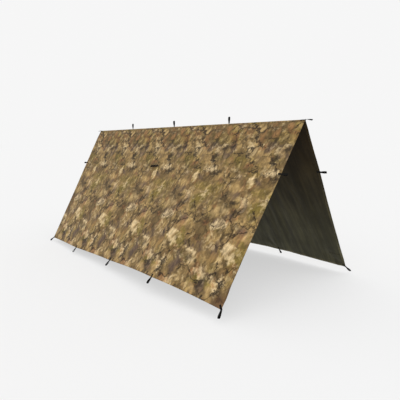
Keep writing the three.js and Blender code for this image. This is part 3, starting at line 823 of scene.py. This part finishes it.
def tail_strip(node, side, lo, hi, base, face, seed):
    """A sewn-down end of tape lying on the cloth from l = lo to hi metres."""
    p, l, n, h = frame_of(node)
    a = np.concatenate([np.linspace(lo, 0.002, 12), np.linspace(0.0035, hi, 14)])
    at = p + a[:, None] * l
    inside = np.maximum(a, -0.0010)
    u, v = uv_of(side, p + inside[:, None] * l)
    u, v = np.clip(u, 0, 1), np.clip(v, 0, 1)
    thick = 0.0012
    off = face * (base + thick / 2)
    mid = cloth(side, u, v, off) + (a - inside)[:, None] * l
    # past the edge the two ends close on each other, where the loop leaves them
    if lo < 0:
        mid -= (smooth(lo + 0.0003, lo + 0.0021, a) * -1.0 + 1.0)[:, None] * (off - face * 0.00075) * normal(side, u, v)
    # lie square on the cloth below
    uh, vh = uv_of(side, p + inside[:, None] * l + 0.006 * h)
    ug, vg = uv_of(side, p + inside[:, None] * l - 0.006 * h)
    across = cloth(side, np.clip(uh, 0, 1), np.clip(vh, 0, 1), off) - cloth(side, np.clip(ug, 0, 1), np.clip(vg, 0, 1), off)
    across /= np.linalg.norm(across, axis=1, keepdims=True)
    tan = np.gradient(mid, axis=0)
    tan /= np.linalg.norm(tan, axis=1, keepdims=True)
    up = np.cross(across, tan)
    up /= np.linalg.norm(up, axis=1, keepdims=True)
    if (up[0] @ n) * face < 0:
        up = -up
    return mid, across, up, thick


tacks = {side: Stitches(f"{side}_bar_tacks", THREAD_BLACK, f"{side}_slope") for side in SIDES}


def ridge_tail(node, reach):
    """The tape sewn along the top of the ridge at its end, folded over it."""
    end = 1.0 if "front" in node else 0.0
    inward = -1.0 if end else 1.0
    u = end + inward * np.linspace(-0.0008, reach, 25) * U1
    u = np.sort(u)
    uu = np.clip(u, 0, 1)
    s = np.linspace(-0.0075, 0.0075, 17)
    up = CAP_GAP + CAP_T + 0.0001
    shift = ((u - uu) * LENGTH)[:, None, None] * np.array([1.0, 0, 0])
    top, bottom = ridge_section(uu, s, up + 0.0012) + shift, ridge_section(uu, s, up) + shift
    uv = np.stack(np.broadcast_arrays(u[:, None] * LENGTH, s[None, :]), -1)
    o = slab(node.replace("_tail", "_web_tail"), top, bottom, uv, uv, [WEBBING] * 3, 1.0)
    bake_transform(o)
    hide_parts(node)
    # rows across the tape at both ends of the seam, on the near half and the far half
    for side in SIDES:
        for at in (0.004, 0.006, reach - 0.005, reach - 0.003):
            for d in (0.0038, 0.0056):
                tacks[side].on_cloth(side, np.array([end + inward * at * U1]), d * V1, HALF + up + 0.0012, 1.0, "v")


def tail(node, seed):
    side = "far" if node.startswith("far") else "near"
    rng = np.random.default_rng(seed)
    on_ridge, centre = node.startswith("ridge"), "centre" in node
    reach = 0.040 if on_ridge else 0.026 + rng.uniform(-0.0015, 0.0005)
    # the sewn end starts where the loop leaves the cloth
    gap = min(float(np.linalg.norm(np.subtract(TABLE[node][0], TABLE[node.replace("_tail", "_loop")][0]))) + (0.0016 if "corner" in node else 0.0002), 0.0130)
    if on_ridge:
        return ridge_tail(node, reach)
    faces = [(1.0, HALF + 0.00010)]
    if not centre:
        faces.append((-1.0, -HEM_LO + 0.00040))
    parts = []
    for face, base in faces:
        mid, across, up, thick = tail_strip(node, side, -gap, reach, base, face, seed)
        parts.append(tape(node, mid, across, up, thick=thick, seed=seed))
        # a boxed bar tack: two rows across, one along each side
        d = np.concatenate([[0], np.cumsum(np.linalg.norm(np.diff(mid, axis=0), axis=1))])
        at = lambda s, arr: np.stack([np.interp(s, d, arr[:, k]) for k in range(3)], -1)
        tan = np.gradient(mid, axis=0)
        tan /= np.linalg.norm(tan, axis=1, keepdims=True)
        for s0 in (0.0052, 0.0066, d[-1] - 0.0042, d[-1] - 0.0028):
            w = np.linspace(-0.0052, 0.0052, 6)
            s = np.full(6, s0)
            A, T, U = at(s, across), at(s, tan), at(s, up)
            tacks[side].row(at(s, mid) + A * w[:, None] + U * thick / 2, A, T, U, length=0.0019, width=0.0006, height=0.0003)
        for w in (-0.0052, 0.0052):
            s = np.arange(0.0085, d[-1] - 0.0055, 0.0026)
            A, T, U = at(s, across), at(s, tan), at(s, up)
            tacks[side].row(at(s, mid) + A * w + U * thick / 2, T, A, U, length=0.0021, width=0.0006, height=0.0003)
    o = tape_object(node.replace("_tail", "_web_tail"), parts)
    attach(o, f"{side}_slope")
    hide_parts(node)


for k, node in enumerate(sorted(TABLE)):
    (loop if node.endswith("_loop") else tail)(node, 900 + k)
for st in tacks.values():
    st.make()

# --------------------------------------------------------- floor and lighting
WORLD, SUN, SUN_EL = 0.923, 1.0, math.radians(52)
world = bpy.data.worlds.new("studio")
bpy.context.scene.world = world
world.use_nodes = True
bg = world.node_tree.nodes["Background"]
bg.inputs["Color"].default_value = (1, 1, 1, 1)
bg.inputs["Strength"].default_value = WORLD
sun = bpy.data.lights.new("key", "SUN")
sun.energy, sun.angle = SUN, math.radians(85)
key = bpy.data.objects.new("key", sun)
bpy.context.scene.collection.objects.link(key)
SUN_AZ = math.radians(-48)
to_sun = Vector((math.cos(SUN_EL) * math.cos(SUN_AZ), math.cos(SUN_EL) * math.sin(SUN_AZ), math.sin(SUN_EL)))
key.rotation_euler = to_sun.to_track_quat("Z", "Y").to_euler()
fm = Nodes("floor")
GLOW = 0.60  # share of the floor's brightness that the shadow leaves, as under a wide soft studio
rho = (1 - GLOW) * WORLD / (WORLD + SUN * math.sin(SUN_EL) / math.pi)
fm.bsdf.inputs["Base Color"].default_value = (rho, rho, rho, 1)
fm.bsdf.inputs["Emission Color"].default_value = (1, 1, 1, 1)
fm.bsdf.inputs["Emission Strength"].default_value = GLOW * WORLD
fm.bsdf.inputs["Roughness"].default_value = 1.0
fm.bsdf.inputs["Specular IOR Level"].default_value = 0.0
R = 150.0
floor = mesh_object("floor", [(-R, -R, 0), (R, -R, 0), (R, R, 0), (-R, R, 0)], [(0, 1, 2, 3)], [fm.mat], shade=False)
bpy.context.scene.view_settings.view_transform = "Standard"
bpy.context.scene.view_settings.look = "None"

bpy.context.view_layer.update()
